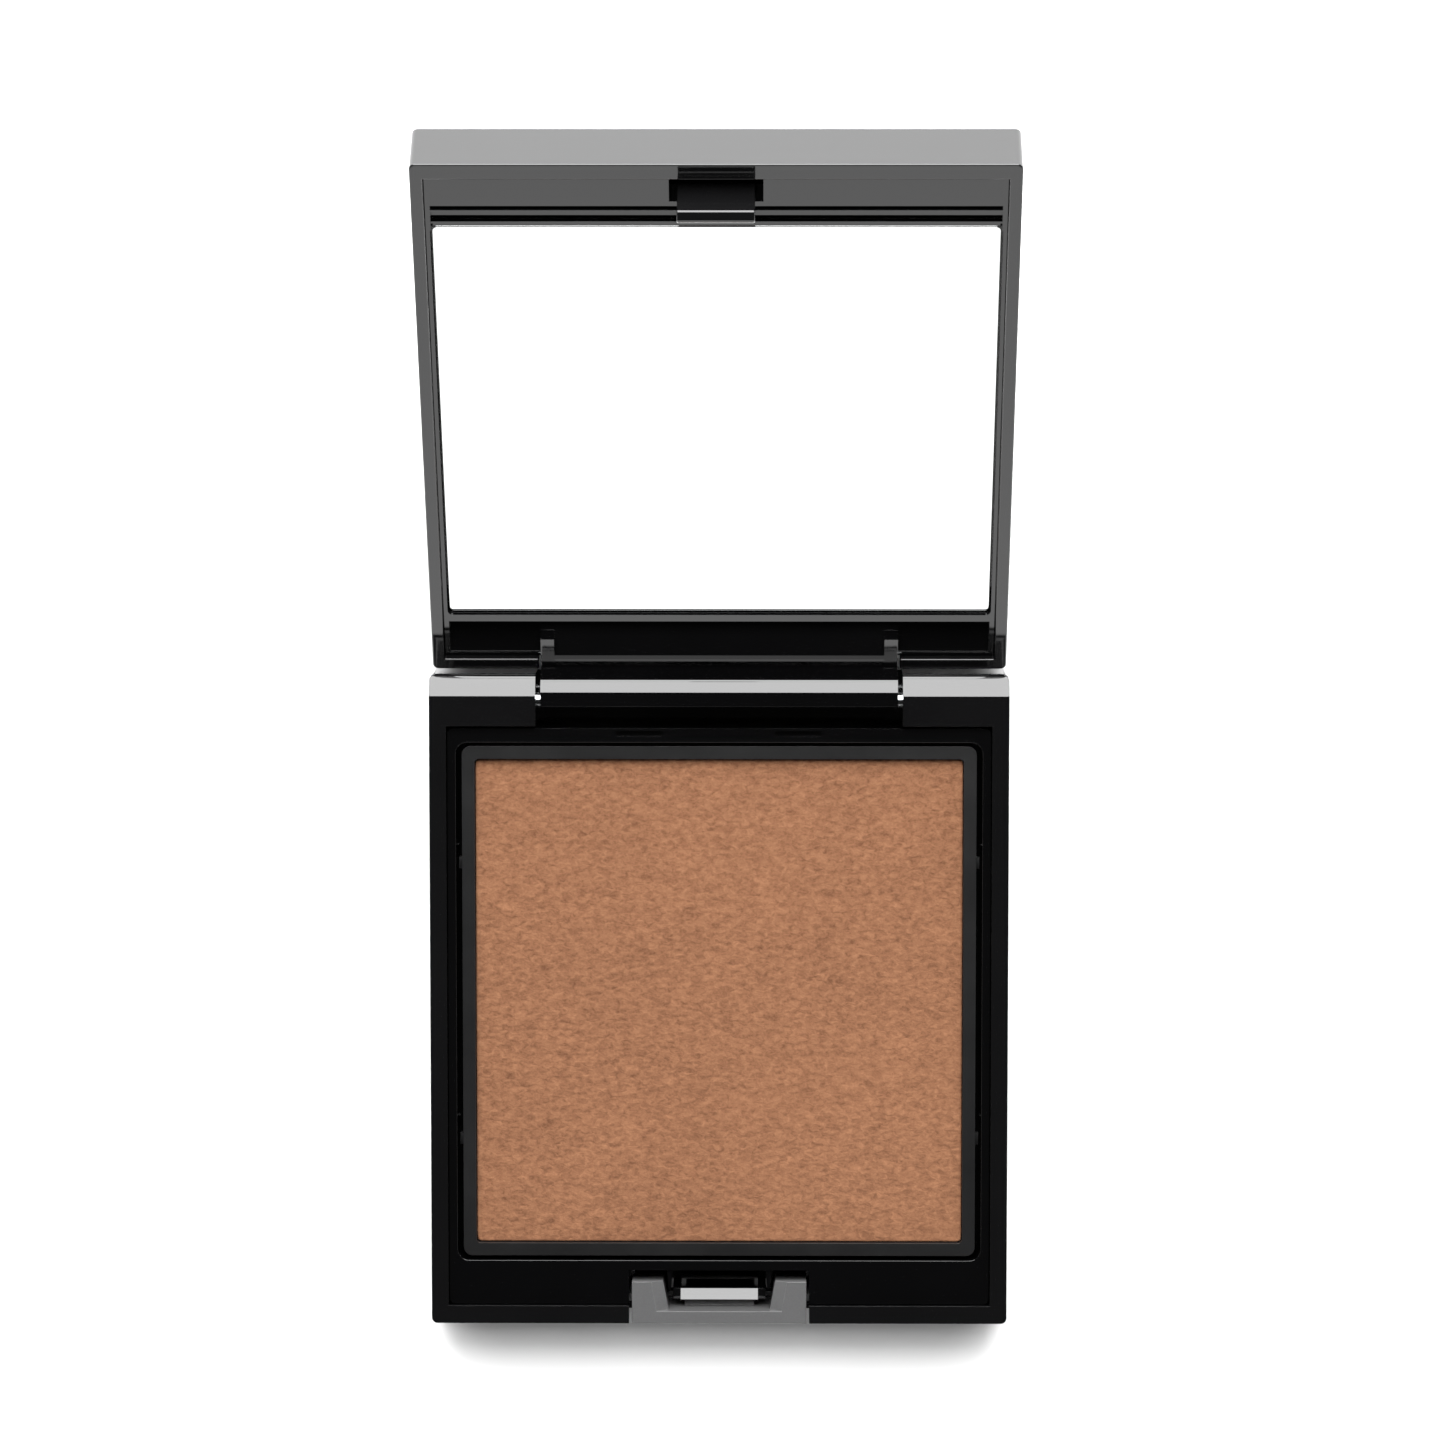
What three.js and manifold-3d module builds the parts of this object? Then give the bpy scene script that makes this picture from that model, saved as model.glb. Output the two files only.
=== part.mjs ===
// A slim square powder compact, lying on its base with the mirror lid swung open.
// Units are millimetres, +Z is up, -Y is the front with the push button, +Y is the hinge side.
// The origin is the centre of the flat underside.
import * as THREE from 'three';
import { mergeVertices } from 'three/addons/utils/BufferGeometryUtils.js';
import { ConvexGeometry } from 'three/addons/geometries/ConvexGeometry.js';
import Module from 'manifold-3d';

const wasm = await Module();
wasm.setup();

// ---- base casing ----
const baseWidth = 60;
const baseLength = 68;
const baseHeight = 10.2;
const baseSideWall = 1.75;
const baseFrontWall = 1.85;
const baseFloor = 1.4;
const plinthInset = 1.2;
const plinthHeight = 0.3;
const casingCornerRadius = 0.6;
const casingEdgeRound = 0.35;
const labelDiameter = 20;
const labelThickness = 0.2;
const labelRecessDepth = 0.35;
const labelOffset = 15;
const labelClearance = 0.3;

// ---- hinge ----
const hingeAxisInset = 2.86;
const hingeSlopeLength = 2.2;
const hingeSlopeAngle = 20;
const hingeRearRound = 0.9;
const hingeBlockDepth = 5.3;
const knuckleLength = 37;
const knuckleRadius = 1.95;
const knuckleOffset = 0.3;
const knuckleTop = 2.2;
const knuckleFlatFront = 0.45;
const knuckleFlatRear = 1;
const knuckleSlopeAngle = 23;
const knuckleEdge = 0.15;
const knuckleFrontStep = 0.2;
const knuckleLowerRadius = 1.5;
const knuckleEndGap = 0.5;
const troughDepth = 3.74;
const pinDiameter = 1.6;
const pinReach = 4;
const pinClearance = 0.06;
const pinEndInset = 0.15;

// ---- deck insert, the drop-in tub with the well ----
const deckRecess = 0.6;
const deckPlate = 1.2;
const deckFrontMargin = 4.7;
const deckRearMargin = 1.45;
const wellWall = 0.85;
const wellFloor = 1.1;
const wellCornerRadius = 1.2;
const insertClearance = 0.1;
const snapWindowLength = 4.8;
const snapWindowWidth = 0.6;
const snapWindowInner = 5.8;
const snapWindowInset = 0.25;

// ---- refill tray, pan and powder ----
const trayClearance = 0.62;
const trayRecess = 0.4;
const trayFrame = 1.33;
const trayFloor = 1.1;
const trayCornerRadius = 0.9;
const traySeatGap = 0.05;
const bumpLength = 1.2;
const bumpReach = 0.35;
const bumpSpread = 29;
const bumpTop = 0.8;
const bumpHeight = 1;
const panClearance = 0.05;
const panWall = 0.35;
const panFloor = 0.35;
const powderRecess = 0.7;
const powderOverfill = 0.35;
const powderGap = 0.05;
const glueDiameter = 32;
const glueThickness = 0.25;

// ---- push button and latch ----
const buttonWidth = 18.2;
const buttonTopDrop = 0.05;
const buttonClearance = 0.3;
const buttonBar = 1.27;
const buttonLegReach = 4.4;
const buttonLegRearInner = 7.1;
const buttonLegFrontInner = 6.5;
const buttonRampWidth = 1.25;
const buttonRampDrop = 0.7;
const buttonTravel = 0.7;
const buttonBottomGap = 2.6;
const buttonLegHeight = 4.6;
const buttonFlangeReach = 1;
const buttonFlangeThickness = 0.8;
const latchSlotDepth = 5.52;
const prongOffset = 5.15;
const prongWidth = 0.6;
const prongLength = 2.1;
const prongDrop = 0.15;
const prongTaper = 0.45;
const prongTip = 0.25;
const catchWidth = 8.1;
const catchFront = 2.1;
const catchRear = 3.2;
const catchHeight = 0.95;
const catchTopDepth = 2.2;
const catchRampDrop = 0.5;
const catchPillar = 0.8;
const hookWidth = 7.6;
const hookThickness = 0.8;
const hookLead = 0.35;
const hookTipChamfer = 0.15;
const hookRootFlare = 0.4;
const hookClearance = 0.15;
const hookBarb = 0.6;
const hookBarbHeight = 0.7;
const barbSlant = 0.05;
const hookGusset = 0.45;
const hookGussetHeight = 0.7;
const hookGussetDepth = 0.2;
const hookWindowMargin = 0.8;

// ---- lid ----
const lidSideSetback = 0.2;
const lidThickness = 6.4;
const closingGap = 0.25;
const lidSideWall = 1.3;
const lidFrontWall = 1.8;
const lidRearWall = 1.3;
const lidTop = 1.4;
const openAngle = 145.5;
const lidOpenGap = 0.22;
const turnedGap = 0.1;

// ---- lid inner frame and mirror ----
const landRecess = 0.6;
const landLength = 3.5;
const landGroove = 0.5;
const landCrest = 0.2;
const innerGrooveDepth = 1;
const mirrorStrip = 0.45;
const mirrorFaceRecess = 1.1;
const mirrorProud = 0.05;
const mirrorSideLip = 0.55;
const mirrorFrontMargin = 8;
const mirrorRearMargin = 8.46;
const mirrorThickness = 1.2;
const mirrorCornerRadius = 0.6;
const mirrorClearance = 0.1;
const tapeThickness = 0.3;
const tapeMargin = 2.5;
const framePlate = 0.8;
const valleyDepth = 2;
const valleyShallow = 0.2;
const valleyRearLip = 0.85;
const valleyRearWall = 0.4;
const webReach = 3.9;
const webOpenGap = 0.26;
const webBelowRim = 0.55;
const webCrest = 0.5;
const webRearDrop = 1.2;
const webValleyDepth = 1.6;
const neckReach = 2.2;
const neckRoot = 0.2;
const armWidth = 1.4;
const armReach = 6;

// How far a joined piece runs into the one that carries it.
const rootDepth = 0.5;
const arcSteps = 6;
const roundSteps = 40;

// ---- values worked out from the sizes above ----
const baseFront = -baseLength / 2;
const baseRear = baseLength / 2;
const axisY = baseRear - hingeAxisInset;
const axisZ = baseHeight - hingeAxisInset;
const troughFloor = axisZ - troughDepth;
const blockFront = baseRear - hingeBlockDepth;
const insertRear = blockFront - 3 * insertClearance;
const insertFront = baseFront + baseFrontWall + insertClearance;
const insertHalf = baseWidth / 2 - baseSideWall - insertClearance;
const deckTop = baseHeight - deckRecess;
const wellFront = baseFront + baseFrontWall + deckFrontMargin;
const wellRear = insertRear - deckRearMargin;
const wellHalf = insertHalf - wellWall;
const wellBottom = baseFloor + insertClearance + wellFloor;
const trayHalf = wellHalf - trayClearance;
const trayFront = wellFront + trayClearance * 0.7;
const trayRear = wellRear - trayClearance * 0.7;
const trayBottom = wellBottom + traySeatGap;
const trayTop = deckTop - trayRecess;
const pocketHalf = trayHalf - trayFrame;
const pocketFront = trayFront + trayFrame;
const pocketRear = trayRear - trayFrame;
const pocketFloor = trayBottom + trayFloor;
const panBottom = pocketFloor + glueThickness + 2 * traySeatGap;
const powderTop = trayTop - powderRecess;
const panTop = powderTop - powderOverfill;
const lidRimZ = baseHeight + closingGap;
const lidOuterZ = lidRimZ + lidThickness;
const lidFloorZ = lidOuterZ - lidTop;
// Opened, the lid's rear end clears the hinge blocks and its web clears the sill below the barrel.
const openTurn = THREE.MathUtils.degToRad(openAngle);
const openSine = Math.sin(openTurn);
const openCosine = Math.cos(openTurn);
const lidRearSetback = ((lidRimZ - axisZ) * openSine - hingeAxisInset - lidOpenGap) / openCosine;
const webRear = webOpenGap - hingeAxisInset * openCosine - troughDepth * openSine;
const lidRear = axisY - lidRearSetback;
const lidHalf = baseWidth / 2 - lidSideSetback;
const lidInnerHalf = lidHalf - lidSideWall;
const mirrorHalf = lidInnerHalf - mirrorSideLip;
const lidInnerFront = baseFront + lidFrontWall;
const lidInnerRear = lidRear - lidRearWall;
const landZ = lidRimZ + landRecess;
const mirrorFaceZ = lidRimZ + mirrorFaceRecess;
const mirrorBackZ = mirrorFaceZ + mirrorThickness;
const tapeBackZ = mirrorBackZ + turnedGap + tapeThickness;
const mirrorSeatZ = tapeBackZ + turnedGap;
const frameBackZ = mirrorSeatZ + framePlate;
const mirrorFront = baseFront + mirrorFrontMargin;
const mirrorRear = axisY - mirrorRearMargin;
const valleyFront = mirrorRear + mirrorClearance + valleyRearLip;
const valleyRear = lidInnerRear - turnedGap - valleyRearWall;
const catchTop = baseHeight - catchTopDepth;
const catchBottom = catchTop - catchHeight;
const hookFront = baseFront + catchRear + hookClearance;
const hookRear = hookFront + hookThickness;
const barbTop = catchBottom - hookClearance;
const hookTip = barbTop - hookBarbHeight;

// ---------- small helpers ----------

// A closed three.js geometry becomes a solid that can be joined and cut.
function solidOf(geometry) {
  const bare = geometry.clone();
  bare.deleteAttribute('normal');
  bare.deleteAttribute('uv');
  const merged = mergeVertices(bare, 1e-4);
  return new wasm.Manifold(new wasm.Mesh({
    numProp: 3,
    vertProperties: new Float32Array(merged.attributes.position.array),
    triVerts: new Uint32Array(merged.index.array),
  }));
}

// The solid's surface as a geometry with flat faces.
function geometryOf(solid) {
  const mesh = solid.getMesh();
  const geometry = new THREE.BufferGeometry();
  geometry.setAttribute('position', new THREE.BufferAttribute(new Float32Array(mesh.vertProperties), 3));
  geometry.setIndex(new THREE.BufferAttribute(new Uint32Array(mesh.triVerts), 1));
  return geometry;
}

// A box between two corners.
function block(x0, x1, y0, y1, z0, z1) {
  const geometry = new THREE.BoxGeometry(x1 - x0, y1 - y0, z1 - z0);
  geometry.translate((x0 + x1) / 2, (y0 + y1) / 2, (z0 + z1) / 2);
  return solidOf(geometry);
}

// A box centred across the width.
function middleBlock(halfWidth, y0, y1, z0, z1) {
  return block(-halfWidth, halfWidth, y0, y1, z0, z1);
}

// The convex body around a list of [x, y, z] corners.
function wedge(corners) {
  return solidOf(new ConvexGeometry(corners.map((c) => new THREE.Vector3(...c))));
}

// The outline of a rectangle with round corners, as [x, y] points.
function roundRectangle(halfWidth, y0, y1, radius) {
  const points = [];
  const centres = [
    [halfWidth - radius, y1 - radius, 0],
    [radius - halfWidth, y1 - radius, 1],
    [radius - halfWidth, y0 + radius, 2],
    [halfWidth - radius, y0 + radius, 3],
  ];
  for (const [cx, cy, quarter] of centres) {
    for (let i = 0; i <= arcSteps; i += 1) {
      const angle = (quarter + i / arcSteps) * Math.PI / 2;
      points.push([cx + radius * Math.cos(angle), cy + radius * Math.sin(angle)]);
    }
  }
  return points;
}

// A slab with round upright corners, and a round edge of the given size at its bottom or top.
function slab(halfWidth, y0, y1, z0, z1, radius, bottomRound = 0, topRound = 0) {
  const corners = [];
  const ring = (inset, z) => {
    const r = Math.max(radius - inset, 0.05);
    for (const [x, y] of roundRectangle(halfWidth - inset, y0 + inset, y1 - inset, r)) {
      corners.push([x, y, z]);
    }
  };
  const edge = (size, z, upwards) => {
    for (let i = 0; i <= 3 && size > 0; i += 1) {
      const angle = (i / 3) * Math.PI / 2;
      ring(size * (1 - Math.sin(angle)), z + upwards * size * (1 - Math.cos(angle)));
    }
    if (size === 0) ring(0, z);
  };
  edge(bottomRound, z0, 1);
  edge(topRound, z1, -1);
  return wedge(corners);
}

// A round bar along X.
function barAlongX(x0, x1, y, z, radius) {
  const geometry = new THREE.CylinderGeometry(radius, radius, x1 - x0, roundSteps);
  geometry.rotateZ(Math.PI / 2);
  geometry.translate((x0 + x1) / 2, y, z);
  return solidOf(geometry);
}

// An upright round disc.
function disc(y, z0, z1, radius) {
  const geometry = new THREE.CylinderGeometry(radius, radius, z1 - z0, roundSteps);
  geometry.rotateX(Math.PI / 2);
  geometry.translate(0, y, (z0 + z1) / 2);
  return solidOf(geometry);
}

// A profile of [y, z] points in the YZ plane, carried along X.
function profileAlongX(points, x0, x1) {
  const shape = new THREE.Shape(points.map(([y, z]) => new THREE.Vector2(y, z)));
  const geometry = new THREE.ExtrudeGeometry(shape, { depth: x1 - x0, bevelEnabled: false });
  const toYZ = new THREE.Matrix4().makeBasis(
    new THREE.Vector3(0, 1, 0),
    new THREE.Vector3(0, 0, 1),
    new THREE.Vector3(1, 0, 0),
  );
  geometry.applyMatrix4(toYZ);
  geometry.translate(x0, 0, 0);
  return solidOf(geometry);
}

// An outline of [x, y] points carried up from z0 to z1.
function column(points, z0, z1) {
  const shape = new THREE.Shape(points.map(([x, y]) => new THREE.Vector2(x, y)));
  const geometry = new THREE.ExtrudeGeometry(shape, { depth: z1 - z0, bevelEnabled: false });
  geometry.translate(0, 0, z0);
  return solidOf(geometry);
}

function mirrored(make) {
  return [1, -1].map((side) => make(side));
}

// Block from |x| = near to |x| = far on one side.
function sideBlock(side, near, far, y0, y1, z0, z1) {
  return block(Math.min(side * near, side * far), Math.max(side * near, side * far), y0, y1, z0, z1);
}

function joined(first, ...rest) {
  return rest.flat().reduce((whole, piece) => whole.add(piece), first);
}

function cut(first, ...rest) {
  return rest.flat().reduce((whole, piece) => whole.subtract(piece), first);
}

// ---------- the base ----------

// The upper rear profile of the hinge blocks, as [y, z] points going up: a round edge, then a slope.
function hingeShoulder() {
  const slope = THREE.MathUtils.degToRad(hingeSlopeAngle);
  const centreY = baseRear - hingeRearRound;
  const drop = (hingeRearRound + (hingeSlopeLength - hingeRearRound) * Math.sin(slope)) / Math.cos(slope);
  const centreZ = baseHeight - drop;
  const points = [];
  for (let i = 0; i <= arcSteps; i += 1) {
    const angle = (i / arcSteps) * (Math.PI / 2 - slope);
    points.push([centreY + hingeRearRound * Math.cos(angle), centreZ + hingeRearRound * Math.sin(angle)]);
  }
  points.push([baseRear - hingeSlopeLength, baseHeight]);
  return points;
}

// The lower casing: floor, four walls, two hinge blocks and the fixed catch for the lid's hook. It stands
// on a shallow plinth.
function makeBaseCasing() {
  const rearProfile = [[baseFront - 1, -1], [baseRear, -1], ...hingeShoulder()];
  rearProfile.push([baseFront - 1, baseHeight]);
  const plinth = middleBlock(
    baseWidth / 2 - plinthInset, baseFront + plinthInset, baseRear - plinthInset,
    0, plinthHeight + casingEdgeRound);
  const outer = slab(
    baseWidth / 2, baseFront, baseRear, plinthHeight, baseHeight, casingCornerRadius, casingEdgeRound)
    .intersect(profileAlongX(rearProfile, -baseWidth, baseWidth))
    .add(plinth);
  const innerHalf = baseWidth / 2 - baseSideWall;
  const cavity = middleBlock(innerHalf, baseFront + baseFrontWall, blockFront, baseFloor, baseHeight + 1);
  const troughHalf = knuckleLength / 2 + knuckleEndGap;
  const trough = middleBlock(troughHalf, blockFront - 1, baseRear + 1, troughFloor, baseHeight + 1);
  const buttonHalf = buttonWidth / 2 + buttonClearance;
  const buttonWindow = middleBlock(
    buttonHalf, baseFront - 1, baseFront + baseFrontWall + 1,
    buttonBottomGap - buttonClearance, baseHeight + 1);
  const pinHoles = mirrored((side) => barAlongX(
    Math.min(side * (troughHalf - 1), side * (baseWidth / 2 + 1)),
    Math.max(side * (troughHalf - 1), side * (baseWidth / 2 + 1)),
    axisY, axisZ, pinDiameter / 2 + pinClearance));
  const labelRecess = disc(labelOffset, -1, labelRecessDepth, labelDiameter / 2 + labelClearance);
  return joined(cut(outer, cavity, trough, buttonWindow, pinHoles, labelRecess), makeCatch());
}

// A ledge on two pillars. Its sloping top leads the hook in, and the hook's barb snaps under it.
function makeCatch() {
  const half = catchWidth / 2;
  const front = baseFront + catchFront;
  const rear = baseFront + catchRear;
  const ledge = profileAlongX(
    [[front, catchBottom], [rear, catchBottom], [rear, catchTop - catchRampDrop], [front, catchTop]],
    -half, half);
  const pillars = mirrored((side) => sideBlock(
    side, half - 0.01, half + catchPillar, front, rear, baseFloor - rootDepth, catchTop - catchRampDrop));
  return joined(ledge, pillars);
}

// The deck with the well that holds the refill tray, and the slot round the latch.
function makeDeckInsert() {
  const plate = slab(insertHalf, insertFront, insertRear, deckTop - deckPlate, deckTop, casingCornerRadius);
  const tub = slab(
    wellHalf + wellWall, wellFront - wellWall, wellRear + wellWall,
    baseFloor + insertClearance, deckTop - deckPlate / 2, wellCornerRadius + wellWall);
  const well = slab(wellHalf, wellFront, wellRear, wellBottom, deckTop + 1, wellCornerRadius);
  const slotHalf = buttonWidth / 2 + buttonClearance;
  const slot = middleBlock(
    slotHalf, baseFront, baseFront + latchSlotDepth, deckTop - deckPlate - 1, deckTop + 1);
  const windows = mirrored((side) => sideBlock(
    side, snapWindowInner, snapWindowInner + snapWindowLength,
    insertRear - snapWindowInset - snapWindowWidth, insertRear - snapWindowInset,
    deckTop - deckPlate / 2, deckTop + 1));
  const prongs = mirrored((side) => makeProng(side));
  return joined(cut(joined(plate, tub), well, slot, windows), prongs);
}

// A small tapering finger that guides the hook sideways as the lid closes.
function makeProng(side) {
  const root = baseFront + latchSlotDepth;
  const tip = root - prongLength;
  const half = prongWidth / 2;
  const x = side * prongOffset;
  return column([
    [x - half, root + 0.2],
    [x - half * prongTaper, tip + half],
    [x - half * prongTip, tip],
    [x + half * prongTip, tip],
    [x + half * prongTaper, tip + half],
    [x + half, root + 0.2],
  ].reverse(), deckTop - deckPlate, deckTop - prongDrop);
}

// The refill tray: a flat frame round the pan, with four small bumps that snap into the well.
function makeRefillTray() {
  const body = slab(trayHalf, trayFront, trayRear, trayBottom, trayTop, trayCornerRadius);
  const pocket = slab(pocketHalf, pocketFront, pocketRear, pocketFloor, trayTop + 1, trayCornerRadius / 2);
  const middle = (trayFront + trayRear) / 2;
  const bumps = mirrored((side) => [-1, 1].map((end) => {
    const y = middle + end * bumpSpread / 2;
    return sideBlock(
      side, trayHalf - 0.2, trayHalf + bumpReach, y - bumpLength / 2, y + bumpLength / 2,
      trayTop - bumpTop - bumpHeight, trayTop - bumpTop);
  })).flat();
  return joined(cut(body, pocket), bumps);
}

function makePan() {
  const half = pocketHalf - panClearance;
  const front = pocketFront + panClearance;
  const rear = pocketRear - panClearance;
  const corner = trayCornerRadius / 2;
  const body = slab(half, front, rear, panBottom, panTop, corner);
  const bowl = slab(
    half - panWall, front + panWall, rear - panWall, panBottom + panFloor, panTop + 1, corner);
  return cut(body, bowl);
}

// The pressed cake fills the pan and covers its rim.
function makePowder() {
  const half = pocketHalf - panClearance;
  const front = pocketFront + panClearance;
  const rear = pocketRear - panClearance;
  const corner = trayCornerRadius / 2;
  const inset = panWall + powderGap;
  const fill = slab(
    half - inset, front + inset, rear - inset,
    panBottom + panFloor + powderGap, panTop + powderGap * 2, corner);
  const cover = slab(half, front, rear, panTop + powderGap, powderTop, corner);
  return joined(fill, cover);
}

// The dab of glue that holds the pan down in its tray.
function makePanGlue() {
  const start = pocketFloor + traySeatGap;
  return disc((trayFront + trayRear) / 2, start, start + glueThickness, glueDiameter / 2);
}

function makeShadeLabel() {
  const start = labelRecessDepth - 0.05 - labelThickness;
  return disc(labelOffset, start, start + labelThickness, labelDiameter / 2);
}

// ---------- the push button ----------

function makeButton() {
  const half = buttonWidth / 2;
  const top = baseHeight - buttonTopDrop;
  const barRear = baseFront + buttonBar;
  const legRear = baseFront + buttonLegReach;
  const bar = middleBlock(half, baseFront, barRear, buttonBottomGap, top);
  const legs = mirrored((side) => column(
    orient(side, [
      [half, barRear - 0.2],
      [half, legRear],
      [buttonLegRearInner, legRear],
      [buttonLegFrontInner, barRear - 0.2],
    ]), top - buttonLegHeight, top));
  const ramps = mirrored((side) => makeRamp(side, barRear - 0.2, legRear, top));
  const flanges = mirrored((side) => sideBlock(
    side, half - 1, half + buttonFlangeReach,
    baseFront + baseFrontWall + insertClearance,
    baseFront + baseFrontWall + insertClearance + buttonFlangeThickness,
    buttonBottomGap, deckTop - deckPlate - 0.2));
  const barbFront = catchRear + hookClearance - hookBarb;
  const pusherReach = barbFront - hookClearance - buttonTravel;
  const pusher = middleBlock(
    catchWidth / 2 - 0.4, baseFront + buttonBar - 0.2, baseFront + pusherReach,
    hookTip, catchBottom - hookClearance);
  return joined(bar, legs, ramps, flanges, pusher);
}

// Outline points for the given side, kept counter-clockwise.
function orient(side, points) {
  const placed = points.map(([x, y]) => [side * x, y]);
  return side > 0 ? placed : placed.reverse();
}

// The sloping inner flank of a leg.
function makeRamp(side, y0, y1, top) {
  const bottom = top - buttonLegHeight;
  const corners = [];
  for (const [y, inner] of [[y0, buttonLegFrontInner], [y1, buttonLegRearInner]]) {
    corners.push([side * (inner + 0.1), y, top - 0.1]);
    corners.push([side * (inner + 0.1), y, bottom]);
    corners.push([side * (inner - buttonRampWidth), y, top - buttonRampDrop]);
    corners.push([side * (inner - buttonRampWidth), y, bottom]);
  }
  return wedge(corners);
}

// ---------- hinge pins ----------

function makeHingePin(side) {
  const inner = knuckleLength / 2 - pinReach;
  const outer = baseWidth / 2 - pinEndInset;
  return barAlongX(Math.min(side * inner, side * outer), Math.max(side * inner, side * outer),
    axisY, axisZ, pinDiameter / 2);
}

// ---------- the lid, drawn shut ----------

// The outer lid: a shallow box with the snap hook standing on its inner face.
function makeLidShell() {
  const outer = slab(lidHalf, baseFront, lidRear, lidRimZ, lidOuterZ, casingCornerRadius, 0, casingEdgeRound);
  const cavity = middleBlock(lidInnerHalf, lidInnerFront, lidInnerRear, lidRimZ - 1, lidFloorZ);
  const notch = middleBlock(
    knuckleLength / 2 + knuckleEndGap / 2, lidInnerRear - 1, lidRear + 1,
    lidRimZ - 1, frameBackZ + turnedGap);
  return joined(cut(outer, cavity, notch), makeHook());
}

// The hook is a thin springy tongue with a barb that faces the front.
function makeHook() {
  const half = hookWidth / 2;
  return profileAlongX([
    [hookFront - hookGusset, lidFloorZ + rootDepth],
    [hookFront - hookGusset, landZ + hookGussetDepth],
    [hookFront, landZ + hookGussetDepth - hookGussetHeight],
    [hookFront, barbTop],
    [hookFront - hookBarb, barbTop - barbSlant],
    [hookFront - hookBarb, barbTop - hookBarbHeight / 2],
    [hookFront + hookTipChamfer, hookTip],
    [hookRear - hookLead, hookTip],
    [hookRear, hookTip + hookLead],
    [hookRear, landZ],
    [hookRear + hookRootFlare, lidFloorZ],
    [hookRear + hookRootFlare, lidFloorZ + rootDepth],
  ], -half, half);
}

// The inner frame fills the lid: a flat land, the mirror's seat, a valley, and the hinge knuckle.
function makeLidFrame() {
  const half = lidInnerHalf - turnedGap / 2;
  const front = lidInnerFront + turnedGap;
  const rear = lidInnerRear - turnedGap;
  const plate = middleBlock(half, front, rear, landZ, frameBackZ);
  const seat = slab(
    mirrorHalf + mirrorClearance, mirrorFront - mirrorClearance, mirrorRear + mirrorClearance,
    landZ - 1, mirrorSeatZ, mirrorCornerRadius);
  const landEnd = lidInnerFront + landLength;
  const groove = middleBlock(mirrorHalf, landEnd, landEnd + landGroove, landZ - 1, landZ + landGroove);
  const crestEnd = landEnd + landGroove + landCrest;
  const stripStart = mirrorFront - mirrorClearance - mirrorStrip;
  const innerGroove = middleBlock(mirrorHalf, crestEnd, stripStart, landZ - 1, landZ + innerGrooveDepth);
  const strip = middleBlock(
    mirrorHalf, stripStart - 0.01, mirrorFront, landZ - 1, mirrorFaceZ - mirrorProud);
  const hookHalf = hookWidth / 2 + hookWindowMargin;
  const hookWindow = middleBlock(
    hookHalf, lidInnerFront - 0.5, hookRear + 0.6, landZ - 1, frameBackZ + 1);
  const valley = profileAlongX([
    [valleyFront, landZ - 1],
    [valleyRear, landZ - 1],
    [valleyRear, landZ + valleyShallow],
    [valleyFront, landZ + valleyDepth],
  ], -mirrorHalf, mirrorHalf);
  const body = cut(plate, seat, groove, innerGroove, strip, hookWindow, valley);
  return cut(joined(body, makeKnuckle()), makeKnuckleBores());
}

// The barrel between the hinge blocks, with the web and the two end arms that carry the lid.
function makeKnuckle() {
  const half = knuckleLength / 2;
  const shut = (dy, dz) => [
    axisY + dy * openCosine - dz * openSine,
    axisZ + dy * openSine + dz * openCosine,
  ];
  const front = -knuckleFlatFront - knuckleFrontStep;
  const rear = knuckleOffset + knuckleRadius;
  const slope = Math.tan(THREE.MathUtils.degToRad(knuckleSlopeAngle));
  const slopeEnd = knuckleTop - (rear - knuckleEdge - knuckleFlatRear) * slope;
  const outline = [
    shut(-knuckleFlatFront, knuckleTop),
    shut(front, knuckleTop - knuckleFrontStep),
    shut(front, 0),
    shut(knuckleFlatRear, knuckleTop),
    shut(rear - knuckleEdge, slopeEnd),
    shut(rear, slopeEnd - knuckleEdge),
  ];
  for (let i = 0; i <= arcSteps * 2; i += 1) {
    const angle = Math.PI + (i / (arcSteps * 2)) * Math.PI / 2;
    outline.push(shut(
      front + knuckleLowerRadius * (1 + Math.cos(angle)),
      (knuckleRadius - knuckleOffset) * Math.sin(angle)));
  }
  for (let i = 1; i <= arcSteps * 2; i += 1) {
    const angle = -Math.PI / 2 + (i / (arcSteps * 2)) * Math.PI / 2;
    outline.push(shut(
      knuckleOffset + knuckleRadius * Math.cos(angle), knuckleOffset + knuckleRadius * Math.sin(angle)));
  }
  const corners = outline.flatMap(([y, z]) => [[-half, y, z], [half, y, z]]);
  const barrel = wedge(corners);
  const webTop = frameBackZ;
  const webBottom = baseHeight - webBelowRim + closingGap;
  const web = profileAlongX([
    [valleyFront, webTop],
    [valleyFront, landZ + webValleyDepth],
    [axisY - webReach, webBottom],
    [axisY - webReach + webCrest, webBottom],
    [axisY - webRear, webBottom + webRearDrop],
    [axisY - webRear, webTop],
  ], -half, half);
  const neck = middleBlock(
    half, axisY - neckReach, axisY - webRear, axisZ, webBottom + webRearDrop + neckRoot);
  const arms = mirrored((side) => sideBlock(
    side, half - armWidth, half, axisY - armReach, axisY - webRear, webBottom, webTop));
  return joined(barrel, web, neck, arms);
}

function makeKnuckleBores() {
  const half = knuckleLength / 2;
  return mirrored((side) => barAlongX(
    Math.min(side * (half - pinReach - 0.4), side * (half + 1)),
    Math.max(side * (half - pinReach - 0.4), side * (half + 1)),
    axisY, axisZ, pinDiameter / 2 + pinClearance));
}

function makeMirror() {
  return slab(
    mirrorHalf, mirrorFront, mirrorRear, mirrorFaceZ, mirrorBackZ, mirrorCornerRadius);
}

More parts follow.
